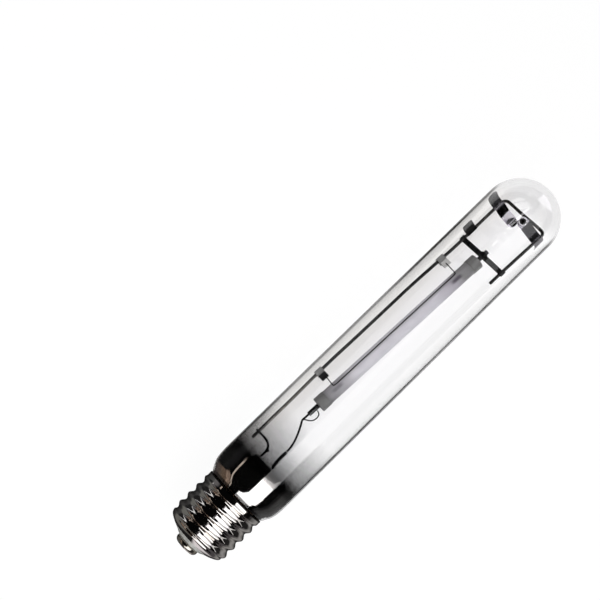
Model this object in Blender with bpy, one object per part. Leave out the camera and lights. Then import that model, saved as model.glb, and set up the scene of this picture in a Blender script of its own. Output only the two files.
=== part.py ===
"""Tubular high-pressure sodium grow lamp with a 40 mm Edison screw cap.

The lamp lies along +X. The origin is the centre of the cap's contact face, and the dome is at +X.
Lengths in the tables are millimetres and become metres where the meshes are made.
"""

import math

import bmesh
import bpy
from mathutils import Vector

MM = 0.001

# Outer bulb
LAMP_LENGTH = 285.0
BULB_RADIUS = 23.0
BULB_WALL = 1.2
NECK_RADIUS = 16.0
NECK_END = 22.0
DOME_CENTRE = LAMP_LENGTH - BULB_RADIUS
SHOULDER = (
    (34.9, 16.0),
    (36.4, 16.5),
    (37.8, 17.3),
    (38.9, 18.35),
    (40.0, 19.3),
    (41.2, 20.0),
    (42.6, 20.75),
    (44.2, 21.55),
    (46.4, 22.3),
    (49.4, 22.75),
    (53.0, 22.95),
    (57.0, 23.0),
)
BULB_SEGMENTS = 40
DOME_STEPS = 7
FILM_END = 78.0
FILM_THICKNESS = 0.15

# Screw cap
THREAD_PITCH = 6.35
THREAD_CREST = 19.65
THREAD_ROOT = 17.95
THREAD_START = 9.5
THREAD_STOP = 36.7
THREAD_RUN_IN = 2.0
THREAD_RUN_OUT = 2.4
SHELL_START_RADIUS = 18.4
FIRST_CREST_X = 15.6
RIM_RADIUS = 19.15
RIM_END = 38.8
SHELL_BORE = 17.5
ROWS_PER_TURN = 5
CAP_SEGMENTS = 32
CONTACT_RADIUS = 7.2
CONTACT_DEPTH = 3.4
GAP = 0.3

# Glass stem
PRESS_END = 62.8

# Wires and sheet
FRAME_WIRE = 1.9
LEAD_WIRE = 1.4
ARC_LEAD_WIRE = 1.9
SUPPORT_WIRE = 1.2
LOOP_WIRE = 0.7
AID_WIRE = 0.6
CAP_WIRE = 0.6
SHEET = 0.4

# Arc tube, measured along its own tilted axis from its cap end
ARC_START = Vector((105.6, 3.9, 0.0))
ARC_END = Vector((227.0, -0.4, 0.0))
ARC_LENGTH = (ARC_END - ARC_START).length
ARC_TILT = math.atan2(ARC_END.y - ARC_START.y, ARC_END.x - ARC_START.x)
ARC_RADIUS = 4.22
ARC_WALL = 0.75
PLUG_LENGTH = 3.0
SHIELD_RADIUS = 4.5
SHIELD_WALL = 0.15
SHIELD_LENGTH = 6.3
NIOBIUM_RADIUS = 1.4
NIOBIUM_BORE = 0.95
CERAMIC_GAP = 0.12

# Starting aid: it turns about the line through its two clips, where the frame rod passes
LOWER_CLIP = Vector((119.0, 17.0, 0.0))
UPPER_CLIP = Vector((212.9, 14.6, 0.0))
CLIP_LENGTH = 4.8
CLIP_WRAP = 1.7


def clear_scene():
    for old in list(bpy.data.objects):
        bpy.data.objects.remove(old, do_unlink=True)


def make_material(name, colour, roughness, metallic, alpha=1.0):
    """A Principled material with one colour, roughness and metallic value."""
    made = bpy.data.materials.new(name)
    made.use_nodes = True
    shader = made.node_tree.nodes["Principled BSDF"]
    shader.inputs["Base Color"].default_value = colour
    shader.inputs["Roughness"].default_value = roughness
    shader.inputs["Metallic"].default_value = metallic
    shader.inputs["Alpha"].default_value = alpha
    made.diffuse_color = colour
    return made


def make_empty(name, place, turn_z):
    """An empty that carries one moving group, with its X along the group's axis."""
    holder = bpy.data.objects.new(name, None)
    holder.empty_display_size = 10 * MM
    holder.location = Vector(place) * MM
    holder.rotation_euler = (0.0, 0.0, turn_z)
    bpy.context.scene.collection.objects.link(holder)
    return holder


def place_object(made, material, parent=None):
    made.data.materials.append(material)
    bpy.context.scene.collection.objects.link(made)
    made.parent = parent
    return made


def finish_mesh(bm, name, material, parent=None):
    """Closes a bmesh into a smooth-shaded object with its faces pointing out."""
    bmesh.ops.remove_doubles(bm, verts=bm.verts, dist=0.0005 * MM)
    bmesh.ops.recalc_face_normals(bm, faces=bm.faces)
    mesh = bpy.data.meshes.new(name)
    bm.to_mesh(mesh)
    bm.free()
    mesh.shade_smooth()
    mesh.set_sharp_from_angle(angle=math.radians(35))
    return place_object(bpy.data.objects.new(name, mesh), material, parent)


def turned(name, outline, segments, material, parent=None):
    """Spins an outline of (x, radius) points round the X axis.

    An outline that starts and ends on the axis closes by itself; any other is closed into a ring.
    """
    bm = bmesh.new()
    points = [bm.verts.new((x * MM, radius * MM, 0.0)) for x, radius in outline]
    edges = [bm.edges.new(pair) for pair in zip(points, points[1:])]
    if outline[0][1] > 0.0:
        edges.append(bm.edges.new((points[-1], points[0])))
    bmesh.ops.spin(
        bm,
        geom=points + edges,
        cent=(0.0, 0.0, 0.0),
        axis=(1.0, 0.0, 0.0),
        angle=math.tau,
        steps=segments,
        use_merge=True,
    )
    return finish_mesh(bm, name, material, parent)


def tube(name, start, end, radius, bore, segments, material, parent=None):
    outline = ((start, bore), (start, radius), (end, radius), (end, bore))
    return turned(name, outline, segments, material, parent)


def smooth_path(points, steps=4):
    """Points along a Catmull-Rom curve through the given ones."""
    ends = [points[0]] + list(points) + [points[-1]]
    found = []
    for before, here, there, after in zip(ends, ends[1:], ends[2:], ends[3:]):
        a, b, c, d = (Vector(p) for p in (before, here, there, after))
        for step in range(steps):
            t = step / steps
            found.append(
                0.5 * (2 * b + (c - a) * t + (2 * a - 5 * b + 4 * c - d) * t**2
                       + (3 * b - a - 3 * c + d) * t**3)
            )
    found.append(Vector(points[-1]))
    return found


def wire(name, points, diameter, material, parent=None, resolution=2):
    """A round wire along the points, with closed ends."""
    curve = bpy.data.curves.new(name, "CURVE")
    curve.dimensions = "3D"
    curve.bevel_depth = diameter / 2 * MM
    curve.bevel_resolution = resolution
    curve.use_fill_caps = True
    spline = curve.splines.new("POLY")
    spline.points.add(len(points) - 1)
    for target, point in zip(spline.points, points):
        target.co = (*(Vector(point) * MM), 1.0)
    return place_object(bpy.data.objects.new(name, curve), material, parent)


def ribbon(name, path, widths, material, thickness=SHEET, parent=None):
    """A strip of sheet metal bent along a path, with its width along X.

    widths is one number, or one for each point of the path.
    """
    path = [Vector(point) for point in path]
    if not isinstance(widths, (list, tuple)):
        widths = [widths] * len(path)
    bm = bmesh.new()
    rings = []
    for index, point in enumerate(path):
        back = (point - path[max(index - 1, 0)]).normalized()
        ahead = (path[min(index + 1, len(path) - 1)] - point).normalized()
        along = (back + ahead).normalized()
        across = Vector((1.0, 0.0, 0.0))
        face = across.cross(along).normalized()
        edge = ahead if ahead.length > 0.0 else back
        stretch = 1.0 / max(face.dot(across.cross(edge).normalized()), 0.6)
        offset = face * (thickness / 2 * stretch)
        half = across * (widths[index] / 2)
        below = point - offset
        above = point + offset
        corners = (below - half, below + half, above + half, above - half)
        rings.append([bm.verts.new(corner * MM) for corner in corners])
    for first, second in zip(rings, rings[1:]):
        for side in range(4):
            after = (side + 1) % 4
            bm.faces.new((first[side], first[after], second[after], second[side]))
    bm.faces.new(rings[0])
    bm.faces.new(rings[-1])
    return finish_mesh(bm, name, material, parent)


def arc(centre, radius, start_deg, end_deg, steps):
    """Points (x, y, z) of an arc round a wire that runs along X."""
    x, y, z = centre
    found = []
    for step in range(steps + 1):
        angle = math.radians(start_deg + (end_deg - start_deg) * step / steps)
        found.append((x, y + radius * math.cos(angle), z + radius * math.sin(angle)))
    return found


def dome_arc(radius, steps):
    """Points (x, radius) of the dome, from the tube's end to the apex."""
    turns = [math.pi / 2 * step / steps for step in range(steps + 1)]
    points = [(DOME_CENTRE + radius * math.sin(t), radius * math.cos(t)) for t in turns]
    points[-1] = (DOME_CENTRE + radius, 0.0)
    return points


def build_outer_bulb(glass):
    outside = [(NECK_END, NECK_RADIUS), *SHOULDER, *dome_arc(BULB_RADIUS, DOME_STEPS)]
    inside = [(x, radius - BULB_WALL) for x, radius in SHOULDER]
    inside = [(NECK_END, NECK_RADIUS - BULB_WALL), *inside]
    inside += dome_arc(BULB_RADIUS - BULB_WALL, DOME_STEPS)
    turned("outer_bulb", outside[::-1] + inside, BULB_SEGMENTS, glass)


def build_getter_film(material):
    """The getter's mirror, a film on the inside of the shoulder and the first part of the tube."""
    clear = BULB_WALL + GAP
    outside = [(x, radius - clear) for x, radius in SHOULDER[5:]] + [(FILM_END, BULB_RADIUS - clear)]
    inside = [(x, radius - FILM_THICKNESS) for x, radius in outside]
    turned("getter_film", outside + inside[::-1], BULB_SEGMENTS, material)


def thread_radius(x, turn):
    """Radius of the screw shell at x, for a right-hand round thread that fades out at both ends."""
    middle = (THREAD_CREST + THREAD_ROOT) / 2
    height = (THREAD_CREST - THREAD_ROOT) / 2
    fade_in = smooth_step((x - THREAD_START) / THREAD_RUN_IN)
    fade_out = smooth_step((x - THREAD_STOP) / THREAD_RUN_OUT + 1.0)
    phase = (x - FIRST_CREST_X) / THREAD_PITCH - turn
    base = SHELL_START_RADIUS + (middle - SHELL_START_RADIUS) * fade_in
    base += (RIM_RADIUS - middle) * fade_out
    return base + height * fade_in * (1 - fade_out) * math.cos(math.tau * phase)


def smooth_step(value):
    value = min(max(value, 0.0), 1.0)
    return value * value * (3 - 2 * value)


def build_screw_shell(material):
    """The threaded shell. Its rows of points follow the helix and stop at two flat rings."""
    bm = bmesh.new()
    turns = (THREAD_STOP - THREAD_START) / THREAD_PITCH
    last_row = math.ceil(ROWS_PER_TURN * (turns + 1))

    def ring_point(x, radius, column):
        angle = math.tau * column / CAP_SEGMENTS
        return bm.verts.new((x * MM, radius * math.cos(angle) * MM, radius * math.sin(angle) * MM))

    def thread_point(column, row):
        x = THREAD_START + THREAD_PITCH * (row / ROWS_PER_TURN - 1 + column / CAP_SEGMENTS)
        x = min(max(x, THREAD_START), THREAD_STOP)
        return ring_point(x, thread_radius(x, column / CAP_SEGMENTS), column)

    grid = [[thread_point(c, r) for r in range(last_row + 1)] for c in range(CAP_SEGMENTS)]

    def grid_point(column, row):
        if column == CAP_SEGMENTS:
            column = 0
            row += ROWS_PER_TURN
        return grid[column][min(max(row, 0), last_row)]

    for column in range(CAP_SEGMENTS):
        for row in range(-ROWS_PER_TURN, last_row):
            corners = (
                grid_point(column, row),
                grid_point(column + 1, row),
                grid_point(column + 1, row + 1),
                grid_point(column, row + 1),
            )
            if row < 0 and column < CAP_SEGMENTS - 1:
                continue
            unique = list(dict.fromkeys(corners))
            if len(unique) > 2:
                bm.faces.new(unique)

    # The plain rim, the bore and the turned-in lip that holds the insulator
    plain = (
        (RIM_END, RIM_RADIUS),
        (RIM_END, RIM_RADIUS - SHEET),
        (36.1, RIM_RADIUS - SHEET),
        (35.5, SHELL_BORE),
        (9.5, SHELL_BORE),
        (8.2, 16.6),
        (6.9, 14.0),
        (6.5, 13.3),
        (6.1, 13.5),
        (7.3, 15.9),
        (8.4, 17.6),
    )
    rings = [[column[last_row] for column in grid]]
    rings += [[ring_point(x, radius, c) for c in range(CAP_SEGMENTS)] for x, radius in plain]
    rings.append([column[0] for column in grid])
    for first, second in zip(rings, rings[1:]):
        for column in range(CAP_SEGMENTS):
            after = (column + 1) % CAP_SEGMENTS
            bm.faces.new((first[column], first[after], second[after], second[column]))
    finish_mesh(bm, "screw_shell", material)


def build_cap(materials):
    build_screw_shell(materials["nickel_brass"])
    insulator = (
        (CONTACT_DEPTH + GAP, 2.4),
        (CONTACT_DEPTH + GAP, 8.4),
        (4.7, 10.0),
        (5.8, 12.6),
        (6.7, 12.9),
        (8.7, 15.4),
        (11.3, 16.2),
        (11.3, 2.4),
    )
    turned("cap_insulator", insulator, CAP_SEGMENTS, materials["vitrite"])
    contact = (
        (0.0, 2.3),
        (0.0, 5.2),
        (0.5, 6.2),
        (1.1, 6.75),
        (2.0, CONTACT_RADIUS),
        (2.9, CONTACT_RADIUS),
        (CONTACT_DEPTH, 6.9),
        (CONTACT_DEPTH, 2.3),
    )
    turned("centre_contact", contact, 24, materials["contact_metal"])
    solder = ((0.0, 0.0), (0.0, 2.0), (2.4, 2.0), (2.9, 0.9), (2.9, 0.0))
    turned("contact_solder", solder, 16, materials["solder"])
    tube("capping_cement", 26.0, 34.4, 17.2, NECK_RADIUS + GAP, CAP_SEGMENTS, materials["cement"])
    side_joint = ((0.0, 0.0), (0.0, 1.6), (0.9, 1.2), (1.3, 0.0))
    blob = turned("side_solder", side_joint, 12, materials["solder"])
    blob.location = (17.0 * MM, -17.0 * MM, 0.0)
    blob.rotation_euler = (0.0, 0.0, math.radians(90))
    centre_lead = smooth_path(
        ((3.3, 0, 0), (9, 0, 0), (13.4, 0, 0.5), (18, 0, 2.9), (26, 0, 3.4), (47, 0, 3.3))
    )
    wire("centre_lead_wire", centre_lead, CAP_WIRE, materials["lead_wire"], resolution=1)
    side_lead = smooth_path(
        ((17.0, -15.2, 0), (16.6, -13, 0), (17.0, -8, 0), (22.0, -4.6, 0), (30, -3.4, 0), (47, -3.3, 0))
    )
    wire("side_lead_wire", side_lead, CAP_WIRE, materials["lead_wire"], resolution=1)


def build_stem(glass):
    """The flared stem: a hollow cone and tube that end in a flat press round the lead wires."""
    press_y = 2.6
    # x, centre y, half width along y, half width along z
    outside = (
        (22.6, 0.0, 14.2, 14.2),
        (25.5, 0.0, 11.2, 11.2),
        (30.0, 0.0, 8.0, 8.0),
        (36.0, 0.0, 6.2, 6.2),
        (47.0, 0.0, 5.9, 5.9),
        (52.0, 1.3, 6.4, 4.2),
        (56.0, press_y, 6.6, 2.3),
        (PRESS_END - 1.0, press_y, 6.6, 2.1),
        (PRESS_END, press_y, 6.0, 1.6),
        (PRESS_END, press_y, 0.0, 0.0),
    )
    inside = (
        (22.6, 0.0, 13.2, 13.2),
        (25.5, 0.0, 10.1, 10.1),
        (30.0, 0.0, 6.9, 6.9),
        (36.0, 0.0, 5.1, 5.1),
        (47.5, 0.0, 4.8, 4.8),
        (49.5, 0.0, 3.0, 2.6),
        (50.0, 0.0, 0.0, 0.0),
    )
    segments = 24
    bm = bmesh.new()
    rings = []
    for x, centre, half_y, half_z in inside[::-1] + outside:
        ring = []
        for step in range(segments):
            angle = math.tau * step / segments
            y = centre + half_y * math.cos(angle)
            z = half_z * math.sin(angle)
            ring.append(bm.verts.new((x * MM, y * MM, z * MM)))
        rings.append(ring)
    for first, second in zip(rings, rings[1:]):
        for step in range(segments):
            after = (step + 1) % segments
            bm.faces.new((first[step], first[after], second[after], second[step]))
    finish_mesh(bm, "stem", glass)


def build_exhaust_tube(glass):
    """The pumping tube inside the stem, open towards the press and melted shut at the cap end."""
    radius = 2.0
    bore = 1.3
    outline = (
        (19.6, 0.0),
        (21.4, bore),
        (47.0, bore),
        (47.0, radius),
        (21.0, radius),
        (19.0, 1.3),
        (18.0, 0.0),
    )
    turned("exhaust_tube", outline, 12, glass)


def arc_at(along):
    """A point of the arc tube's axis, at a distance from its cap end."""
    return ARC_START.lerp(ARC_END, along / ARC_LENGTH)


def build_leads(material):
    start = PRESS_END + GAP
    stub = smooth_path(((start, 6.1, -0.9), (64.8, 6.1, -0.9), (67.2, 6.0, -0.9), (69.1, 5.2, -0.9)))
    wire("frame_lead_stub", stub, LEAD_WIRE, material)
    over_rod = (FRAME_WIRE + LEAD_WIRE) / 2 + GAP
    connector = smooth_path(
        (
            (66.4, 6.1, 0.9),
            (68.6, 6.3, 0.9),
            (70.4, 7.4, 1.0),
            (71.6, 9.2, 1.2),
            (72.1, 12.0, 1.5),
            (72.1, 15.8, over_rod),
            (72.1, 18.4, over_rod),
        )
    )
    wire("frame_connector", connector, LEAD_WIRE, material)
    arc_lead = smooth_path(
        ((start, -3.0, 0), (64.1, -2.95, 0), (66.5, -2.3, 0), (70.0, -2.05, 0), (75.2, -2.1, 0)), 3
    )
    wire("arc_lead", arc_lead, ARC_LEAD_WIRE, material)
    support = smooth_path(
        (
            (75.5, -2.1, 0),
            (79.5, -1.75, 0),
            (83.5, -0.6, 0),
            (87.5, 1.1, 0),
            (91.0, 2.9, 0),
            arc_at(-12.0),
            arc_at(-9.0),
            arc_at(-1.8),
        )
    )
    wire("arc_support_rod", support, SUPPORT_WIRE, material)
    loop = smooth_path(
        (
            (94.2, 4.2, 1.3),
            (95.0, 3.1, 1.3),
            (95.9, 1.7, 1.0),
            (97.2, 0.4, 0.7),
            (98.8, -0.3, 0.4),
            (100.6, -0.4, 0.2),
            (102.1, 0.1, 0),
            (102.9, 1.2, 0),
            (103.1, 2.2, 0),
        ),
        3,
    )
    wire("expansion_loop", loop, LOOP_WIRE, material, resolution=1)


def build_frame_rod(material):
    """One bent wire: up the bulb beside the arc tube, across the dome and part of the way back."""
    route = (
        (67.2, 16.75, 0),
        (80.0, 16.85, 0),
        (98.0, 16.8, 0),
        (110.0, 16.95, 0),
        LOWER_CLIP,
        (130.0, 16.93, 0),
        (146.0, 16.5, 0),
        (164.0, 16.15, 0),
        (188.0, 15.75, 0),
        (202.0, 15.15, 0),
        UPPER_CLIP,
        (224.0, 14.1, 0),
        (240.0, 13.95, 0),
        (252.0, 13.85, 0),
        (259.5, 13.7, 0),
        (262.5, 13.2, 0),
        (264.1, 11.7, 0),
        (264.5, 9.0, 0),
        (264.8, 0.0, 0),
        (265.2, -6.0, 0),
        (265.5, -12.4, 0),
        (265.1, -14.9, 0),
        (263.2, -15.9, 0),
        (258.0, -15.7, 0),
        (240.0, -15.0, 0),
        (231.8, -14.7, 0),
        (222.5, -14.5, 0),
    )
    wire("frame_rod", smooth_path(route, 2), FRAME_WIRE, material)


def build_crossbar(material):
    """A strip from leg to leg of the frame, hooked round both, and the clamp that holds the upper tube."""
    wrap = FRAME_WIRE / 2 + GAP + SHEET / 2
    low = -(NIOBIUM_RADIUS + GAP + SHEET / 2)
    path = arc((230.5, 14.0, 0), wrap, 110, -60, 6)
    path += [(230.9, 12.8, -1.7), (231.2, 8.0, low), (231.6, -0.6, low), (231.9, -8.0, low)]
    path += [(232.0, -13.4, -1.7)]
    path += arc((231.8, -14.7, 0), wrap, -120, -290, 6)
    ribbon("crossbar", path, 3.2, material)
    centre = arc_at(ARC_LENGTH + 4.6)
    foot = low + SHEET + GAP
    path = [(centre.x, centre.y - 3.3, foot), (centre.x, centre.y - 2.2, foot)]
    path += arc(centre, NIOBIUM_RADIUS + GAP + SHEET / 2, 180, 0, 8)
    path += [(centre.x, centre.y + 2.2, foot), (centre.x, centre.y + 3.3, foot)]
    ribbon("crossbar_clamp", path, 2.6, material)


def strip_widths(count, full, rounded_ends=2):
    """Widths along a strip of count points with rounded tips at its first end, or at both."""
    tips = [full * share for share in (0.4, 0.76, 0.94)]
    middle = [full] * (count - 3 * rounded_ends)
    return tips + middle + (tips[::-1] if rounded_ends == 2 else [])


def bent_strip(name, x, path, width, rounded_ends, material):
    """A strip at one x, bent along (y, z) points."""
    points = smooth_path([(x, y, z) for y, z in path], 2)
    ribbon(name, points, strip_widths(len(points), width, rounded_ends), material)


def build_dome_strips(material):
    """Strips welded to the frame. Their outer ends spring against the glass, and two hold the getters."""
    over_rod = FRAME_WIRE / 2 + GAP + SHEET / 2
    spring = (
        (18.0, 6.6),
        (18.0, 5.2),
        (17.3, 3.7),
        (16.0, 2.4),
        (14.9, over_rod + 0.1),
        (13.9, over_rod),
        (12.7, over_rod),
    )
    left = (
        (19.7, 8.0),
        (19.4, 6.6),
        (18.5, 4.4),
        (17.0, 2.6),
        (15.4, over_rod + 0.1),
        (13.8, over_rod),
        (12.4, 1.3),
        (10.0, -0.5),
        (7.7, -2.1),
        (5.8, -2.7),
        (3.8, -3.25),
        (1.6, -3.85),
        (-0.2, -4.35),
        (-1.2, -4.65),
    )
    right = (
        (0.1, 6.3),
        (-0.9, 6.3),
        (-2.7, 6.3),
        (-4.7, 6.1),
        (-7.5, 4.7),
        (-10.6, 3.1),
        (-13.4, 1.7),
        (-15.4, over_rod + 0.1),
        (-16.7, 1.35),
        (-17.6, 0.1),
        (-18.3, -2.2),
        (-18.7, -4.8),
        (-18.5, -7.0),
    )
    bent_strip("dome_spring", 236.8, spring, 7.2, 1, material)
    bent_strip("dome_strip_left", 258.5, left, 6.8, 2, material)
    bent_strip("dome_strip_right", 259.4, right, 6.8, 2, material)


def build_getter_rings(material):
    """Channels of getter, open upwards. Each lies on the inner end of its strip, at the strip's tilt."""
    ring = ((0.0, 1.1), (0.0, 2.6), (1.0, 2.6), (1.0, 2.2), (0.6, 1.9), (1.0, 1.6), (1.0, 1.1))
    seats = (("left", (258.5, 1.46, -3.37), 16.0), ("right", (259.4, -2.7, 6.9), 0.0))
    for side, place, tilt_deg in seats:
        made = turned(f"getter_ring_{side}", ring, 16, material)
        made.location = Vector(place) * MM
        made.rotation_mode = "ZYX"
        made.rotation_euler = (math.radians(tilt_deg), math.radians(-90), 0.0)


def electrode_outline(shank_end, coil_start, coil_end, tip):
    """A tungsten shank with a coil of three turns wound on it."""
    shank = 0.45
    coil = 1.25
    turns = 3
    pitch = (coil_end - coil_start) / turns
    points = [(shank_end, 0.0), (shank_end, shank), (coil_start, shank)]
    for turn in range(turns):
        start = coil_start + turn * pitch
        points.append((start + pitch * 0.05, coil * 0.85))
        points.append((start + pitch * 0.5, coil))
        points.append((start + pitch * 0.95, coil * 0.85))
    points += [(coil_end, shank), (tip, shank), (tip, 0.0)]
    return points


def build_arc_tube(materials):
    """The ceramic arc tube and everything that is joined to it, on an empty along its axis."""
    axis = make_empty("arc_tube_axis", ARC_START, ARC_TILT)
    segments = 20
    bore = ARC_RADIUS - ARC_WALL
    tube("arc_tube", 0.0, ARC_LENGTH, ARC_RADIUS, bore, segments, materials["alumina"], axis)
    plug = bore - CERAMIC_GAP
    hole = NIOBIUM_RADIUS + CERAMIC_GAP
    inner_end = ARC_LENGTH - PLUG_LENGTH
    niobium_inside = PLUG_LENGTH + 0.5
    spans = (
        ("lower_plug", 0.0, PLUG_LENGTH, plug, hole, "alumina"),
        ("upper_plug", inner_end, ARC_LENGTH, plug, hole, "alumina"),
        ("lower_niobium_tube", -7.3, niobium_inside, NIOBIUM_RADIUS, NIOBIUM_BORE, "niobium"),
        ("upper_niobium_tube", ARC_LENGTH - niobium_inside, ARC_LENGTH + 7.8, NIOBIUM_RADIUS, NIOBIUM_BORE,
         "niobium"),
        ("lower_heat_shield", 0.2, SHIELD_LENGTH, SHIELD_RADIUS, SHIELD_RADIUS - SHIELD_WALL, "heat_shield"),
        ("upper_heat_shield", ARC_LENGTH - SHIELD_LENGTH, ARC_LENGTH - 0.2, SHIELD_RADIUS,
         SHIELD_RADIUS - SHIELD_WALL, "heat_shield"),
    )
    for name, start, end, radius, hollow, material in spans:
        tube(name, start, end, radius, hollow, segments, materials[material], axis)
    low_shape = electrode_outline(0.6, 5.6, 11.0, 12.8)
    high_shape = [(ARC_LENGTH - x, radius) for x, radius in low_shape]
    turned("lower_electrode", low_shape, 12, materials["tungsten"], axis)
    turned("upper_electrode", high_shape, 12, materials["tungsten"], axis)
    drop_outline = ((-1.1, 0.0), (-0.7, 0.8), (0.7, 0.8), (1.1, 0.0))
    drop = turned("sodium_amalgam", drop_outline, 10, materials["amalgam"], axis)
    drop.location = (4.8 * MM, 0.0, -(bore - 0.8 - CERAMIC_GAP) * MM)


def build_starting_aid(materials):
    """The wire along the arc tube that helps it strike, hung on two bimetal strips that turn on the rod."""
    span = UPPER_CLIP - LOWER_CLIP
    pivot = make_empty("starting_aid_pivot", LOWER_CLIP, math.atan2(span.y, span.x))
    upper_x = span.length
    tip = -5.4
    clip = [(0, tip, CLIP_WRAP), (0, -2.6, CLIP_WRAP)] + arc((0, 0, 0), CLIP_WRAP, 90, -110, 8)
    clip += [(0, -2.8, -1.5)]
    bimetal = 0.3
    strip_z = CLIP_WRAP + (SHEET + bimetal) / 2 + GAP
    strip = ((0, -1.8, strip_z), (0, -3.6, strip_z), (0, tip - 0.1, strip_z))
    for name, x in (("lower", 0.0), ("upper", upper_x)):
        folded = ribbon(f"{name}_aid_clip", clip, CLIP_LENGTH, materials["strip_steel"], SHEET, pivot)
        folded.location.x = x * MM
        bent = ribbon(f"{name}_bimetal", strip, CLIP_LENGTH - 0.2, materials["bimetal"], bimetal, pivot)
        bent.location.x = x * MM
    # The wire lies beside and above the arc tube, which is tilted a little to the pivot line
    lower_y = -11.45
    upper_y = -11.8
    height = 4.2
    wire_z = strip_z + (bimetal + AID_WIRE) / 2 + GAP
    route = smooth_path(
        (
            (0.6, -3.6, wire_z),
            (0.6, tip, wire_z),
            (0.3, -8.6, 3.6),
            (0.2, -10.1, height),
            (1.2, lower_y, height),
            (10.0, lower_y - 0.1, height),
        ),
        3,
    )
    route += smooth_path(
        (
            (upper_x - 10.0, upper_y + 0.1, height),
            (upper_x - 1.8, upper_y, height),
            (upper_x - 0.6, upper_y + 0.9, height),
            (upper_x - 0.4, -8.6, 3.6),
            (upper_x - 0.2, tip, wire_z),
            (upper_x - 0.2, -3.6, wire_z),
        ),
        3,
    )
    wire("starting_aid_wire", route, AID_WIRE, materials["lead_wire"], pivot, resolution=1)


def make_materials():
    return {
        "glass": make_material("clear_glass", (0.93, 0.95, 0.95, 1.0), 0.03, 0.0, 0.25),
        "film": make_material("getter_film", (0.05, 0.05, 0.055, 1.0), 0.05, 1.0),
        "nickel_brass": make_material("nickel_brass", (0.62, 0.61, 0.59, 1.0), 0.18, 1.0),
        "vitrite": make_material("vitrite", (0.33, 0.33, 0.34, 1.0), 0.25, 0.0),
        "contact_metal": make_material("contact_metal", (0.58, 0.57, 0.55, 1.0), 0.28, 1.0),
        "solder": make_material("solder", (0.66, 0.66, 0.67, 1.0), 0.35, 1.0),
        "cement": make_material("cement", (0.62, 0.55, 0.42, 1.0), 0.9, 0.0),
        "lead_wire": make_material("lead_wire", (0.16, 0.155, 0.15, 1.0), 0.35, 1.0),
        "frame_wire": make_material("frame_wire", (0.2, 0.195, 0.19, 1.0), 0.3, 1.0),
        "strip_steel": make_material("strip_steel", (0.3, 0.3, 0.31, 1.0), 0.3, 1.0),
        "spring_steel": make_material("spring_steel", (0.24, 0.235, 0.23, 1.0), 0.35, 1.0),
        "bimetal": make_material("bimetal", (0.09, 0.085, 0.08, 1.0), 0.4, 1.0),
        "getter": make_material("getter", (0.06, 0.06, 0.065, 1.0), 0.5, 1.0),
        "alumina": make_material("alumina", (0.74, 0.72, 0.75, 1.0), 0.4, 0.0),
        "heat_shield": make_material("heat_shield", (0.34, 0.34, 0.34, 1.0), 0.5, 1.0),
        "niobium": make_material("niobium", (0.32, 0.32, 0.33, 1.0), 0.4, 1.0),
        "tungsten": make_material("tungsten", (0.3, 0.3, 0.31, 1.0), 0.45, 1.0),
        "amalgam": make_material("amalgam", (0.7, 0.71, 0.73, 1.0), 0.12, 1.0),
    }


def main():
    clear_scene()
    materials = make_materials()
    build_outer_bulb(materials["glass"])
    build_getter_film(materials["film"])
    build_cap(materials)
    build_stem(materials["glass"])
    build_exhaust_tube(materials["glass"])
    build_leads(materials["lead_wire"])
    build_frame_rod(materials["frame_wire"])
    build_crossbar(materials["strip_steel"])
    build_dome_strips(materials["spring_steel"])
    build_getter_rings(materials["getter"])
    build_arc_tube(materials)
    build_starting_aid(materials)


main()
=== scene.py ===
"""The look of the grow lamp: fine glass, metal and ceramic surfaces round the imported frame.

Lengths are millimetres in the frame's own axes, and become metres where the meshes are made.
+X runs along the lamp from cap to dome, and +Z is up, towards the camera.
"""

from math import atan2, cos, pi, radians, sin, sqrt, tau

import bmesh
import bpy
from mathutils import Matrix, Vector


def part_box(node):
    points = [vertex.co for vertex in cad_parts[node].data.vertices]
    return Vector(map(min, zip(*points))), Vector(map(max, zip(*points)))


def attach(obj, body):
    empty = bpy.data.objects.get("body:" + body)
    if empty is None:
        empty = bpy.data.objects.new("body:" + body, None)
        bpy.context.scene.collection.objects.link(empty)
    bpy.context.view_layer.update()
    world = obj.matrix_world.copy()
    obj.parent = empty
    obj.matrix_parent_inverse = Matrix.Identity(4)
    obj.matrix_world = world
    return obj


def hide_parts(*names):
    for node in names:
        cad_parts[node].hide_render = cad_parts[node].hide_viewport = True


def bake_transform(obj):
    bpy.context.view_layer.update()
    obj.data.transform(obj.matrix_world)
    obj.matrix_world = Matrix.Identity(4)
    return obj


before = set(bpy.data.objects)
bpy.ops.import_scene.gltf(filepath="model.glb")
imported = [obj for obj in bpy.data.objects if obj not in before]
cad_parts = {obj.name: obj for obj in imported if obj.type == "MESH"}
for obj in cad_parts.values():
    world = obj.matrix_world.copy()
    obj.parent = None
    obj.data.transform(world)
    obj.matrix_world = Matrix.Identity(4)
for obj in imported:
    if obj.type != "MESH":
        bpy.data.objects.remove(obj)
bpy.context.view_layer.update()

MM = 0.001


def size_of(node):
    """The lowest and highest corner of a CAD node, in millimetres."""
    low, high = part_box(node)
    return low / MM, high / MM


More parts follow.
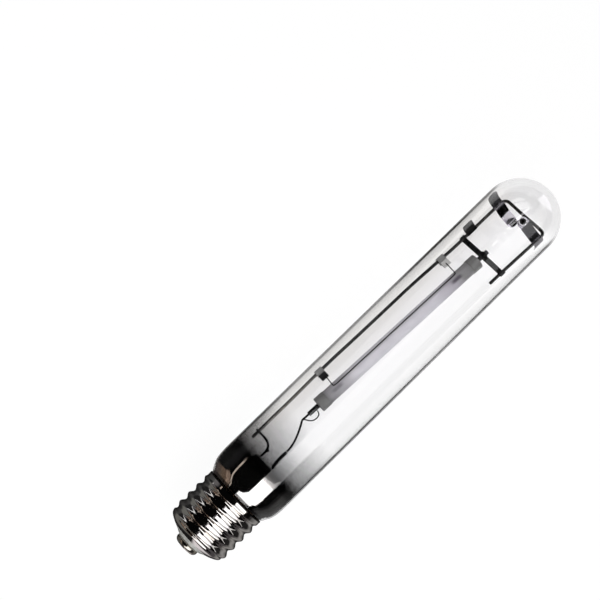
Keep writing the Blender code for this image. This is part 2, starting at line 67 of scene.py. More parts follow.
# Outer bulb and cap, from the frame
NECK_END = size_of("outer_bulb")[0].x
LAMP_LENGTH, BULB_RADIUS, _ = size_of("outer_bulb")[1]
SHELL_START = size_of("screw_shell")[0].x
RIM_END, _, CREST_RADIUS = size_of("screw_shell")[1]
CONTACT_DEPTH, _, CONTACT_RADIUS = size_of("centre_contact")[1]
DOME_CENTRE = LAMP_LENGTH - BULB_RADIUS
BULB_WALL = 1.2
APEX_WALL = 0.65 * BULB_WALL
FILM_START = 38.5
FILM_END = 99.0
FILM_CLEARANCE = 0.08
FILM_THICKNESS = 0.06
NECK_RADIUS = 16.0
SHOULDER = (
    (30.0, 16.0), (34.9, 16.0), (36.4, 16.5), (37.8, 17.3), (38.9, 18.35), (40.0, 19.3), (41.2, 20.0),
    (42.6, 20.75), (44.2, 21.55), (46.4, 22.3), (49.4, 22.75), (53.0, 22.95), (57.0, 23.0), (60.0, 23.0),
)
TUBE_START = SHOULDER[-1][0]
THREAD_PITCH = 6.35
THREAD_DEPTH = 1.7
THREAD_START = 9.5
THREAD_STOP = 36.7
THREAD_RUN_IN = 2.0
THREAD_RUN_OUT = 2.4
FIRST_CREST_X = 15.6
SHELL_START_RADIUS = 18.4
RIM_RADIUS = 19.15
SHELL_SHEET = 0.3
PRESS_END = size_of("stem")[1].x

# Arc tube: its axis runs from the cap end to the dome end
ARC_START = Vector((105.6, 3.9, 0.0))
ARC_END = Vector((227.0, -0.4, 0.0))
ARC_LENGTH = (ARC_END - ARC_START).length
ARC_RADIUS = 4.22
ARC_BORE = 3.47
NIOBIUM_RADIUS = 1.4
NIOBIUM_BORE = 0.95

# The line through the starting aid's two clips
LOWER_CLIP = Vector((119.0, 17.0, 0.0))
UPPER_CLIP = Vector((212.9, 14.6, 0.0))

# Centres of the two getter rings, and the round painted shadow under each on its strip
LEFT_RING = (258.5, 1.46, -3.37)
RIGHT_RING = (259.4, -2.7, 6.9)
PAINTED_SHADOW_RADIUS = 1.6

# Diameters of wires, thickness of strips, and the clearance between pieces
FRAME_WIRE = 1.9
LEAD_WIRE = 1.4
ARC_LEAD_WIRE = 1.9
SUPPORT_WIRE = 1.2
LOOP_WIRE = 0.7
AID_WIRE = 0.6
CAP_WIRE = 0.6
SHEET = 0.4
GAP = 0.3

# The studio: its lights' height, the white boxes' radiance, and the slant of the brown light's edge
CEILING = 600.0
WHITE = 2.4
BROWN_SLANT = 0.435

# Segments round a turned piece
ROUND = 144
SMALL_ROUND = 48


# ---- meshes


def add_object(name, data):
    made = bpy.data.objects.new(name, data)
    bpy.context.scene.collection.objects.link(made)
    return made


def finish(bm, name, look, node, body="lamp", sharp=40, place=None):
    """Turns a bmesh into a piece that rides on a body and stands for a CAD node."""
    bmesh.ops.remove_doubles(bm, verts=bm.verts, dist=0.002 * MM)
    bmesh.ops.recalc_face_normals(bm, faces=bm.faces)
    mesh = bpy.data.meshes.new(name)
    bm.to_mesh(mesh)
    bm.free()
    if place is not None:
        mesh.transform(place)
    mesh.shade_smooth()
    mesh.set_sharp_from_angle(angle=radians(sharp))
    mesh.materials.append(LOOKS[look])
    made = add_object(name, mesh)
    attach(made, body)
    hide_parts(node)
    return made


def bridge(bm, rings, closed=False):
    """Joins rings of equal count into quads. A ring of one repeated point collapses to a tip."""
    pairs = list(zip(rings, rings[1:]))
    if closed:
        pairs.append((rings[-1], rings[0]))
    for first, second in pairs:
        count = len(first)
        for step in range(count):
            after = (step + 1) % count
            bm.faces.new((first[step], first[after], second[after], second[step]))


def ring_at(bm, x, radii, centre=0.0, depths=None):
    """A ring of vertices about the X axis, one for each radius. An oval ring has depths along Z too."""
    ring = []
    for step, (radius, depth) in enumerate(zip(radii, depths or radii)):
        angle = tau * step / len(radii)
        y = centre + radius * cos(angle)
        ring.append(bm.verts.new((x * MM, y * MM, depth * sin(angle) * MM)))
    return ring


def turned(name, outline, segments, look, node, body="lamp", place=None, sharp=40):
    """Turns an outline of (x, radius) points about X. It closes on the axis, or into a ring."""
    bm = bmesh.new()
    rings = [ring_at(bm, x, [radius] * segments) for x, radius in outline]
    bridge(bm, rings, closed=outline[0][1] > 0.0)
    return finish(bm, name, look, node, body, sharp, place)


def smooth_path(points, steps=6):
    """Points along a Catmull-Rom curve through the given ones."""
    ends = [points[0]] + list(points) + [points[-1]]
    found = []
    for before, here, there, after in zip(ends, ends[1:], ends[2:], ends[3:]):
        a, b, c, d = (Vector(p) for p in (before, here, there, after))
        for step in range(steps):
            t = step / steps
            found.append(
                0.5 * (2 * b + (c - a) * t + (2 * a - 5 * b + 4 * c - d) * t**2
                       + (3 * b - a - 3 * c + d) * t**3)
            )
    found.append(Vector(points[-1]))
    return found


def smooth_outline(points):
    return [(p.x, p.y) for p in smooth_path([(x, radius, 0.0) for x, radius in points], 5)]


def distances(points):
    """How far along the path each point lies."""
    lengths = [0.0]
    for first, second in zip(points, points[1:]):
        lengths.append(lengths[-1] + (second - first).length)
    return lengths


def direction(points, index):
    """The way the path runs at one of its points."""
    return (points[min(index + 1, len(points) - 1)] - points[max(index - 1, 0)]).normalized()


def wire(name, points, diameter, look, node, body="lamp", place=None):
    """A round wire along the points, with its cut ends rounded off."""
    sides = 16
    end_rings = 4
    lengths = distances(points)
    total = lengths[-1]
    soft = 0.3 * diameter
    bm = bmesh.new()
    rings = []
    up = Vector((0.0, 0.0, 1.0))
    for index, point in enumerate(points):
        along = direction(points, index)
        across = up.cross(along)
        if across.length < 0.2:
            across = Vector((1.0, 0.0, 0.0)).cross(along)
        across.normalize()
        up = along.cross(across)
        places = [(point, 1.0)]
        if index in (0, len(points) - 1):
            outward = -along if index == 0 else along
            places = []
            for turn in (radians(90 * step / end_rings) for step in range(end_rings + 1)):
                inset = point - outward * soft * (1 - sin(turn))
                places.append((inset, 1 - (soft / diameter) * 2 * (1 - cos(turn))))
            places.append((point, 0.0))
            if index == 0:
                places.reverse()
        elif lengths[index] < soft or total - lengths[index] < soft:
            continue
        for centre, share in places:
            radius = diameter / 2 * share
            ring = []
            for step in range(sides):
                angle = tau * step / sides
                outwards = across * cos(angle) + up * sin(angle)
                ring.append(bm.verts.new((centre + outwards * radius) * MM))
            rings.append(ring)
    bridge(bm, rings)
    return finish(bm, name, look, node, body, 50, place)


def strip(name, path, width, look, node, tips, body="lamp", place=None, thickness=SHEET, steps=5):
    """A strip of sheet metal bent along a path, its width along X, with soft edges and rounded tips."""
    points = smooth_path(path, steps)
    lengths = distances(points)
    total = lengths[-1]

    def half_width(distance):
        half = width / 2
        for radius, gone in ((tips[0], distance), (tips[1], total - distance)):
            if gone < radius:
                half = min(half, width / 2 - radius + sqrt(max(radius**2 - (radius - gone) ** 2, 0.0)))
        return max(half, 0.02)

    extra = []
    for radius, start, sign in ((tips[0], 0.0, 1), (tips[1], total, -1)):
        extra += [start + sign * radius * (1 - cos(radians(a))) for a in (15, 30, 45, 60, 75)]

    def at(distance):
        for index in range(len(points) - 1):
            if distance <= lengths[index + 1]:
                share = (distance - lengths[index]) / max(lengths[index + 1] - lengths[index], 1e-9)
                return points[index].lerp(points[index + 1], share)
        return points[-1].copy()

    stops = sorted({round(d, 4) for d in lengths + extra})
    places = [at(d) for d in stops]
    bm = bmesh.new()
    rings = []
    across = Vector((1.0, 0.0, 0.0))
    for index, point in enumerate(places):
        face = across.cross(direction(places, index)).normalized() * (thickness / 2)
        half = half_width(stops[index])
        low = point - across * half
        high = point + across * half
        rings.append([bm.verts.new(p * MM) for p in (low - face, high - face, high + face, low + face)])
    bridge(bm, rings)
    bm.faces.new(rings[0])
    bm.faces.new(rings[-1])
    made = finish(bm, name, look, node, body, 40, place)
    bevel = made.modifiers.new("soft_edges", "BEVEL")
    bevel.width = 0.07 * MM
    bevel.segments = 2
    bevel.limit_method = "ANGLE"
    bevel.angle_limit = radians(45)
    return made


def arc(centre, radius, start_deg, end_deg, steps):
    """Points (x, y, z) of an arc round a wire that runs along X."""
    x, y, z = centre
    turns = [radians(start_deg + (end_deg - start_deg) * step / steps) for step in range(steps + 1)]
    return [(x, y + radius * cos(t), z + radius * sin(t)) for t in turns]


def arc_at(along):
    """A point of the arc tube's axis, at a distance from its cap end."""
    return ARC_START.lerp(ARC_END, along / ARC_LENGTH)


def frame_along(start, end):
    """The transform that takes X at the origin to the line from start to end."""
    span = end - start
    return Matrix.Translation(start * MM) @ Matrix.Rotation(atan2(span.y, span.x), 4, "Z")


# ---- materials


def rgba(colour):
    """The four channels of a colour or a grey."""
    return (colour, colour, colour, 1.0) if isinstance(colour, float) else (*colour, 1.0)


class Nodes:
    """Builds the nodes of a material or world. A value is a number, a colour or another node's output."""

    def __init__(self, owner):
        owner.use_nodes = True
        self.tree = owner.node_tree
        self.tree.nodes.clear()

    def feed(self, node, **inputs):
        """Sets a node's inputs, by name or by number."""
        for key, value in inputs.items():
            numbered = key.startswith("in") and key[2:].isdigit()
            socket = node.inputs[int(key[2:]) if numbered else key.replace("_", " ")]
            if isinstance(value, bpy.types.NodeSocket):
                self.tree.links.new(value, socket)
            else:
                socket.default_value = rgba(value) if socket.type == "RGBA" else value

    def put(self, kind, props=None, **inputs):
        """Adds a node of a kind, with its settings and inputs."""
        made = self.tree.nodes.new("ShaderNode" + kind)
        for key, value in (props or {}).items():
            setattr(made, key, value)
        self.feed(made, **inputs)
        return made

    def math(self, operation, *values):
        numbered = {f"in{index}": value for index, value in enumerate(values)}
        return self.put("Math", {"operation": operation}, **numbered).outputs[0]

    def times(self, first, second):
        return self.math("MULTIPLY", first, second)

    def plus(self, first, second):
        return self.math("ADD", first, second)

    def minus(self, first, second):
        return self.math("SUBTRACT", first, second)

    def share(self, value, low, span):
        """0 where the value is low, and 1 a span above it."""
        return self.math("DIVIDE", self.minus(value, low), span)

    def along_axis(self, axis):
        """The place along one of the lamp's axes, in millimetres."""
        where = self.put("TexCoord").outputs["Object"]
        return self.times(self.put("SeparateXYZ", Vector=where).outputs[axis], 1.0 / MM)

    def noise(self, scale, detail=4.0, roughness=0.6, stretch=(1.0, 1.0, 1.0)):
        where = self.put("TexCoord").outputs["Object"]
        place = self.put("Mapping", Vector=where, Scale=stretch).outputs[0]
        return self.put("TexNoise", Vector=place, Scale=scale, Detail=detail,
                        Roughness=roughness).outputs["Fac"]

    def ramp(self, value, stops):
        """A colour ramp: stops are (place, colour or grey)."""
        made = self.put("ValToRGB", Fac=value)
        band = made.color_ramp
        while len(band.elements) < len(stops):
            band.elements.new(0.5)
        for element, (place, colour) in zip(band.elements, stops):
            element.position = place
            element.color = rgba(colour)
        return made.outputs[0]

    def spread(self, value, low, high):
        """Takes 0..1 of a value to low..high."""
        return self.put("MapRange", Value=value, To_Min=low, To_Max=high).outputs[0]

    def between(self, value, start, stop):
        """0 before start, 1 after stop, smooth between."""
        smooth = {"interpolation_type": "SMOOTHSTEP"}
        return self.put("MapRange", smooth, Value=value, From_Min=start, From_Max=stop).outputs[0]

    def mix(self, factor, first, second, blend="MIX"):
        settings = {"data_type": "RGBA", "blend_type": blend}
        return self.put("Mix", settings, in0=factor, in6=first, in7=second).outputs[2]

    def bump(self, height, distance, strength=1.0):
        return self.put("Bump", Height=height, Distance=distance * MM, Strength=strength).outputs[0]


def new_material(name):
    made = bpy.data.materials.new(name)
    nodes = Nodes(made)
    shader = nodes.put("BsdfPrincipled")
    output = nodes.put("OutputMaterial", Surface=shader.outputs[0])
    return made, nodes, shader, output


def metal(name, light, dark, rough, grain, blotch=260.0, grain_scale=1500.0, depth=0.02, tint=None, matt=0.0,
          heat=None, spot=None):
    """Plain metal: blotches between two colours, and fine grain stretched along the way it was worked.

    Its painted light is (axis, stops): stops of (place in mm, factor) that darken it along that axis of the
    lamp, as painted shade, with painted highlights where it stays light. spot is the centre of a round
    painted shadow.
    """
    made, n, shader, _ = new_material(name)
    patches = n.noise(blotch, 5.0, 0.65)
    lines = n.noise(grain_scale, 3.0, 0.5, grain)
    colour = n.mix(n.ramp(patches, ((0.3, 0.0), (0.72, 1.0))), light, dark)
    colour = n.mix(n.times(lines, 0.35), colour, dark)
    if tint:
        warm = n.ramp(n.noise(blotch * 0.45, 2.0), ((0.42, 0.0), (0.66, 1.0)))
        colour = n.mix(n.times(warm, 0.6), colour, tint)
    # Painted light: stops that darken the metal along one axis as painted shade, and leave painted highlights
    # where they stay light
    if heat:
        axis, stops = heat
        low = stops[0][0]
        span = stops[-1][0] - low
        share = n.share(n.along_axis(axis), low, span)
        painted_tone = n.ramp(share, [((place - low) / span, factor) for place, factor in stops])
        colour = n.mix(1.0, colour, painted_tone, "MULTIPLY")
    # A round painted shadow on the strip under a getter ring
    if spot:
        x_away, y_away = (n.math("POWER", n.minus(n.along_axis(axis), spot[axis]), 2.0)
                          for axis in (0, 1))
        away = n.math("SQRT", n.plus(x_away, y_away))
        inside = n.between(away, PAINTED_SHADOW_RADIUS + 0.1, PAINTED_SHADOW_RADIUS - 0.1)
        colour = n.mix(inside, colour, (0.01, 0.009, 0.01))
    both = n.plus(n.times(patches, 0.5), n.times(lines, 0.5))
    n.feed(shader, Metallic=1.0 - matt, Base_Color=colour, Roughness=n.spread(both, *rough),
           Normal=n.bump(lines, depth))
    return made


def clear_glass():
    """Clear glass with a faint drawn waviness. Light passes through it without a hard shadow."""
    made, n, shader, output = new_material("clear_glass")
    streaks = n.noise(60.0, 2.0, 0.5, (0.15, 1.0, 1.0))
    clear = n.put("BsdfTransparent")
    n.feed(shader, Roughness=0.0, IOR=1.49, Transmission_Weight=1.0, Normal=n.bump(streaks, 0.02, 0.3),
           Base_Color=n.mix(streaks, 1.0, 0.985))
    path = n.put("LightPath")
    lit = n.put("MixShader", in0=path.outputs["Is Shadow Ray"], in1=shader.outputs[0], in2=clear.outputs[0])
    n.feed(output, Surface=lit.outputs[0])
    return made


def painted_dark_glass():
    """The stem's glass, painted near black as painted shade, with its glaze still bright."""
    made, n, shader, _ = new_material("stem_glass")
    dark_mottle = n.noise(220.0, 4.0, 0.6)
    # The near-black colour is painted shade
    n.feed(shader, Base_Color=n.mix(dark_mottle, 0.004, (0.016, 0.015, 0.016)),
           Roughness=n.spread(dark_mottle, 0.08, 0.2), Normal=n.bump(n.noise(150.0), 0.05), Specular_IOR_Level=0.3)
    return made


def film_material():
    """The getter's mirror: solid over the shoulder, absorbing where it thins, and clear along the tube.

    Its edge wanders, and ends sooner in a stripe on the -Y side. Over the neck it has black bands of painted
    shade, with a painted brown reflection between them.
    """
    made, n, shader, _ = new_material("getter_mirror")
    x = n.along_axis(0)
    y = n.along_axis(1)
    wander = n.spread(n.noise(45.0, 3.0, 0.55), -1.2, 1.2)
    stripe = n.times(n.between(y, -2.5, -4.0), n.between(y, -12.5, -11.0))
    thinner = n.times(stripe, n.between(x, 66.0, 80.0))
    longer = n.times(n.between(y, -12.0, -14.0), n.between(x, 68.0, 63.0))
    shift = n.minus(n.times(thinner, 6.0), n.times(longer, 1.4))
    fade = n.share(n.plus(n.plus(x, shift), wander), 40.0, 60.0)
    cover = n.ramp(fade, ((0.28, 1.0), (0.32, 0.82), (0.36, 0.56), (0.4, 0.42), (0.433, 0.345), (0.5, 0.25),
                          (0.567, 0.19), (0.633, 0.132), (0.7, 0.083), (0.767, 0.045), (0.833, 0.018),
                          (0.88, 0.0)))
    silver = (0.62, 0.6, 0.585)
    colour = n.ramp(fade, ((0.0, silver), (0.255, silver), (0.285, (0.2, 0.185, 0.18)),
                           (0.34, (0.05, 0.046, 0.045)), (0.4, (0.02, 0.021, 0.026)),
                           (0.6, (0.03, 0.03, 0.04)), (0.9, (0.1, 0.1, 0.12))))
    black = (0.01, 0.009, 0.009)
    brown = (0.3, 0.2, 0.16)
    # Over the neck: black bands of painted shade with a painted brown reflection between them
    neck_painted_light = n.ramp(n.share(x, 38.0, 5.0), ((0.2, black), (0.26, brown), (0.4, brown), (0.48, black),
                                              (0.66, black), (0.76, 1.0)))
    n.feed(shader, Metallic=1.0, Base_Color=n.mix(1.0, colour, neck_painted_light, "MULTIPLY"),
           Roughness=n.spread(n.noise(500.0), 0.02, 0.09), Alpha=cover)
    return made


def alumina_material():
    """Translucent sintered alumina, darker towards its ends, with a dark smudge near each electrode's tip."""
    made, n, shader, _ = new_material("milky_alumina")
    along = n.minus(n.along_axis(0), ARC_START.x)
    wander = n.spread(n.noise(180.0, 3.0), -2.0, 2.0)
    place = n.math("DIVIDE", n.plus(along, wander), ARC_LENGTH)
    white = (0.67, 0.66, 0.695)
    body = n.ramp(place, ((0.05, 0.12), (0.07, (0.24, 0.235, 0.24)),
                          (0.12, (0.36, 0.355, 0.37)), (0.15, (0.41, 0.4, 0.42)),
                          (0.217, (0.6, 0.59, 0.62)), (0.28, white), (0.5, white),
                          (0.72, (0.62, 0.61, 0.65)), (0.84, (0.42, 0.4, 0.44)),
                          (0.89, (0.24, 0.24, 0.235)), (0.95, (0.17, 0.17, 0.165))))
    slope = (ARC_END.y - ARC_START.y) / (ARC_END.x - ARC_START.x)
    centre = n.plus(n.times(along, slope), ARC_START.y)
    aside = n.math("ABSOLUTE", n.minus(n.along_axis(1), centre))
    for start, stop, tone in ((9.0, 19.0, (0.16, 0.155, 0.165)), (99.5, 109.5, (0.055, 0.045, 0.06))):
        reach = n.times(n.between(along, start, start + 3.5), n.between(along, stop, stop - 3.0))
        spot = n.times(reach, n.between(aside, 1.7, 0.3))
        body = n.mix(spot, body, tone)
    smoke = n.ramp(n.noise(150.0, 4.0, 0.6), ((0.35, 0.0), (0.75, 1.0)))
    colour = n.mix(n.times(smoke, 0.3), body, (0.42, 0.4, 0.45))
    n.feed(shader, Base_Color=colour, Roughness=n.spread(n.noise(900.0), 0.3, 0.5), IOR=1.3,
           Transmission_Weight=0.25, Normal=n.bump(n.noise(2500.0, 5.0), 0.01))
    return made


def coated_material(name, light, dark, rough, scale, coat, depth=0.02):
    """A non-metal: mottled between two colours, with a fine uneven surface and an optional glaze."""
    made, n, shader, _ = new_material(name)
    mottle = n.ramp(n.noise(scale, 5.0, 0.7), ((0.3, 0.0), (0.7, 1.0)))
    n.feed(shader, Base_Color=n.mix(mottle, light, dark), Roughness=n.spread(n.noise(scale * 4), *rough),
           Normal=n.bump(n.noise(scale * 6, 6.0), depth), Coat_Weight=coat, Coat_Roughness=0.05)
    return made


def make_materials():
    """Every look, by its name."""
    turned_grain = (6.0, 0.6, 0.6)
    drawn_grain = (0.08, 1.0, 1.0)
    rolled_grain = (1.0, 0.08, 1.0)
    even_grain = (1.0, 1.0, 1.0)
    # Painted light and shade on each piece: the axis, and stops of (place in mm, factor)
    # The left getter's black lower half and dark upper part are painted shade, and the light line between
    # them a painted highlight
    getter_painted_light = (1, ((-1.3, 0.004), (1.35, 0.004), (1.5, 0.75), (2.0, 0.75), (2.25, 0.1), (4.2, 0.1)))
    # The rod's lighter and darker stretches are painted reflections and painted shade
    rod_painted_light = (0, ((60.0, 0.45), (74.0, 0.55), (80.0, 1.0), (112.0, 0.9), (122.0, 0.14), (205.0, 0.14),
                    (225.0, 0.3), (256.0, 0.3), (262.0, 0.12), (270.0, 0.12)))
    # On both dome strips the dark bands are painted shade and the light bands painted highlights
    left_spring_painted_light = (1, ((-2.0, 1.0), (7.3, 1.0), (7.8, 0.03), (12.2, 0.03), (12.6, 0.4), (13.6, 0.4),
                     (14.4, 0.04), (20.0, 0.06)))
    right_spring_painted_light = (1, ((-19.0, 0.4), (-16.2, 0.4), (-15.6, 1.0), (-14.9, 1.0), (-14.5, 0.02), (-12.8, 0.03),
                      (-11.5, 0.09), (-5.3, 0.09), (-4.9, 1.0), (0.0, 1.0)))
    # The crossbar's dark middle is painted shade
    crossbar_painted_shade = (1, ((-16.0, 0.4), (-13.5, 0.1), (13.0, 0.1), (16.0, 0.7)))
    # A dark band of painted shade at the shell's rolled rim
    rim_painted_shade = (0, ((5.0, 1.0), (38.05, 1.0), (38.35, 0.04), (38.8, 0.04)))
    looks = {
        "glass": clear_glass(),
        "stem_glass": painted_dark_glass(),
        "film": film_material(),
        "vitrite": coated_material("black_vitrite", (0.52, 0.53, 0.5), (0.4, 0.405, 0.39), (0.15, 0.3),
                                   260.0, 0.3),
        "cement": coated_material("white_cement", (0.6, 0.53, 0.4), (0.42, 0.36, 0.27), (0.8, 0.95), 700.0,
                                  0.0, 0.1),
        "alumina": alumina_material(),
    }
    # The look's name, how it varies, and then what metal() takes, in its order
    metals = (
        ("nickel_brass", {"heat": rim_painted_shade}, "nickel_shell", (0.76, 0.74, 0.72), (0.64, 0.62, 0.61),
         (0.04, 0.11), turned_grain, 120.0, 900.0, 0.01, (0.66, 0.6, 0.55)),
        ("contact_metal", {}, "contact_nickel", (0.6, 0.58, 0.53), (0.45, 0.43, 0.4), (0.1, 0.22),
         turned_grain, 200.0, 900.0, 0.02, (0.45, 0.4, 0.3)),
        ("solder", {}, "tin_solder", 0.6, (0.36, 0.36, 0.37), (0.25, 0.5), even_grain, 500.0,
         900.0, 0.05),
        ("lead_wire", {}, "lead_nickel", (0.04, 0.038, 0.037), (0.014, 0.013, 0.014), (0.2, 0.4),
         drawn_grain, 300.0, 1800.0, 0.02, (0.03, 0.03, 0.04)),
        ("thin_wire", {}, "thin_wire", (0.03, 0.029, 0.031), (0.01, 0.01, 0.012), (0.25, 0.45), drawn_grain,
         300.0, 2200.0, 0.01),
        ("frame_wire", {"heat": rod_painted_light}, "frame_nickel", (0.5, 0.49, 0.47), (0.34, 0.33, 0.32),
         (0.16, 0.3), drawn_grain, 220.0, 1800.0, 0.015, (0.36, 0.32, 0.29)),
        ("strip_steel", {"heat": crossbar_painted_shade}, "plated_strip", 0.4, 0.25, (0.1, 0.2),
         rolled_grain, 240.0, 1500.0, 0.012),
        ("clip", {"matt": 0.7}, "clip_steel", (0.27, 0.27, 0.26), (0.17, 0.17, 0.165), (0.35, 0.55),
         rolled_grain, 240.0, 1500.0, 0.015),
        ("spring_steel", {"heat": left_spring_painted_light, "spot": LEFT_RING}, "spring_strip", (0.86, 0.83, 0.88),
         (0.74, 0.71, 0.77), (0.12, 0.22), rolled_grain, 200.0, 1500.0, 0.012, (0.74, 0.7, 0.8)),
        ("right_spring", {"heat": right_spring_painted_light, "spot": RIGHT_RING}, "right_spring_strip", (0.72, 0.7, 0.75),
         (0.56, 0.55, 0.6), (0.06, 0.12), rolled_grain, 200.0, 1500.0, 0.012, (0.6, 0.56, 0.68)),
        ("dark_spring", {}, "dark_spring_strip", (0.03, 0.028, 0.026), (0.012, 0.011, 0.01), (0.2, 0.4),
         rolled_grain, 300.0, 1500.0, 0.012),
        ("rim", {}, "getter_channel", (0.95, 0.93, 0.96), (0.85, 0.83, 0.87), (0.15, 0.28), turned_grain,
         300.0),
        ("right_getter", {"matt": 0.6}, "fired_getter", (0.012, 0.011, 0.013), (0.005, 0.005, 0.006),
         (0.4, 0.7), even_grain, 500.0, 1800.0, 0.05),
        # The left getter carries painted shade and a painted highlight line
        ("left_getter", {"matt": 0.05, "heat": getter_painted_light}, "half_fired_getter", (0.75, 0.73, 0.77),
         (0.55, 0.53, 0.57), (0.4, 0.7), even_grain, 500.0, 1800.0, 0.05),
        ("niobium", {}, "grey_niobium", (0.14, 0.14, 0.142), (0.08, 0.08, 0.082), (0.1, 0.2), turned_grain,
         300.0, 1600.0, 0.012),
        ("heat_shield", {"matt": 0.8}, "shield_foil", (0.2, 0.2, 0.195), (0.12, 0.12, 0.117), (0.45, 0.65),
         turned_grain, 160.0, 1200.0, 0.02),
        ("tungsten", {}, "grey_tungsten", (0.3, 0.3, 0.31), (0.16, 0.16, 0.17), (0.35, 0.6), turned_grain,
         400.0, 2000.0, 0.02),
        ("amalgam", {}, "amalgam_drop", (0.75, 0.75, 0.77), (0.6, 0.6, 0.63), (0.05, 0.15), even_grain,
         300.0, 900.0, 0.01),
        ("bimetal", {}, "bimetal_strip", (0.06, 0.057, 0.057), (0.02, 0.02, 0.022), (0.3, 0.5),
         rolled_grain, 300.0, 1600.0, 0.015),
        ("pale_bimetal", {"matt": 0.7}, "pale_bimetal_strip", (0.52, 0.52, 0.5), (0.4, 0.4, 0.385),
         (0.35, 0.5), rolled_grain, 300.0, 1600.0, 0.015),
    )
    for look, variation, *given in metals:
        looks[look] = metal(*given, **variation)
    return looks


LOOKS = make_materials()


# ---- glass


def dome_arc(radius, depth, steps=36):
    """Points (x, radius) from the tube's end to the apex of a dome of the given depth."""
    turns = [pi / 2 * step / steps for step in range(steps + 1)]
    points = [(DOME_CENTRE + depth * sin(t), radius * cos(t)) for t in turns]
    points[-1] = (DOME_CENTRE + depth, 0.0)
    return points


def tube_steps(start, stop, step):
    """Places along the straight tube, without its two ends."""
    count = int((stop - start) / step)
    return [start + (stop - start) * index / count for index in range(1, count)]


def build_bulb():
    """The outer bulb. The glass thins towards the dome's apex, where it was blown out."""
    profile = [(NECK_END, NECK_RADIUS), *smooth_outline(SHOULDER)]
    profile += [(x, BULB_RADIUS) for x in tube_steps(TUBE_START, DOME_CENTRE, 12.0)]
    outside = profile + dome_arc(BULB_RADIUS, BULB_RADIUS)
    inside = [(x, radius - BULB_WALL) for x, radius in profile]
    inside += dome_arc(BULB_RADIUS - BULB_WALL, BULB_RADIUS - APEX_WALL)
    turned("bulb_glass", outside[::-1] + inside, ROUND, "glass", "outer_bulb")


def build_film():
    """The mirror lies just inside the glass, from the rim of the cap to where it has faded out."""
    inset = BULB_WALL + FILM_CLEARANCE
    outside = [(x, radius - inset) for x, radius in smooth_outline(SHOULDER) if x >= FILM_START]
    outside += [(x, BULB_RADIUS - inset) for x in tube_steps(TUBE_START, FILM_END, 5.0)]
    inside = [(x, radius - FILM_THICKNESS) for x, radius in outside]
    turned("getter_mirror_film", outside + inside[::-1], ROUND, "film", "getter_film")


def loft(name, sections, segments, look, node):
    """Joins elliptic sections of (x, centre y, half y, half z) into one closed surface."""
    bm = bmesh.new()
    bridge(bm, [ring_at(bm, x, [half_y] * segments, centre, [half_z] * segments)
                for x, centre, half_y, half_z in sections])
    return finish(bm, name, look, node)


def build_stem():
    """The flared stem with its flat press, and the exhaust tube inside it."""
    press_y = 2.6
    outside = (
        (22.6, 0.0, 14.2, 14.2), (24.0, 0.0, 12.6, 12.6), (25.5, 0.0, 11.2, 11.2), (27.5, 0.0, 9.4, 9.4),
        (30.0, 0.0, 8.0, 8.0), (33.0, 0.0, 6.9, 6.9), (36.0, 0.0, 6.2, 6.2), (42.0, 0.0, 5.95, 5.95),
        (47.0, 0.1, 5.9, 5.9), (49.5, 0.6, 6.1, 5.3), (52.0, 1.3, 6.4, 4.2), (54.0, 2.1, 6.5, 3.0),
        (56.0, press_y, 6.6, 2.3), (58.5, press_y, 6.6, 2.15), (PRESS_END - 1.2, press_y, 6.6, 2.1),
        (PRESS_END - 0.5, press_y, 6.4, 1.9), (PRESS_END - 0.1, press_y, 6.0, 1.5),
        (PRESS_END, press_y, 5.4, 1.0), (PRESS_END, press_y, 0.0, 0.0),
    )
    inside = (
        (22.6, 0.0, 13.2, 13.2), (25.5, 0.0, 10.1, 10.1), (30.0, 0.0, 6.9, 6.9), (36.0, 0.0, 5.1, 5.1),
        (44.0, 0.0, 4.85, 4.85), (47.5, 0.0, 4.7, 4.7), (49.5, 0.0, 3.0, 2.6), (50.0, 0.0, 0.0, 0.0),
    )
    loft("stem_glass", inside[::-1] + outside, 64, "stem_glass", "stem")
    exhaust = ((19.6, 0.0), (20.4, 0.8), (21.4, 1.3), (47.0, 1.3), (47.0, 2.0), (21.0, 2.0), (19.6, 1.75),
               (18.6, 1.0), (18.0, 0.0))
    turned("exhaust_tube_glass", exhaust, 32, "stem_glass", "exhaust_tube")


# ---- cap


def smooth_step(value):
    value = min(max(value, 0.0), 1.0)
    return value * value * (3 - 2 * value)


def thread_radius(x, turn):
    """Radius of the screw shell at x, for a right-hand round thread that fades out at both ends."""
    height = THREAD_DEPTH / 2
    middle = CREST_RADIUS - height
    fade_in = smooth_step((x - THREAD_START) / THREAD_RUN_IN)
    fade_out = smooth_step((x - THREAD_STOP) / THREAD_RUN_OUT + 1.0)
    phase = (x - FIRST_CREST_X) / THREAD_PITCH - turn
    base = SHELL_START_RADIUS + (middle - SHELL_START_RADIUS) * fade_in
    base += (RIM_RADIUS - middle) * fade_out
    return base + height * fade_in * (1 - fade_out) * cos(tau * phase)


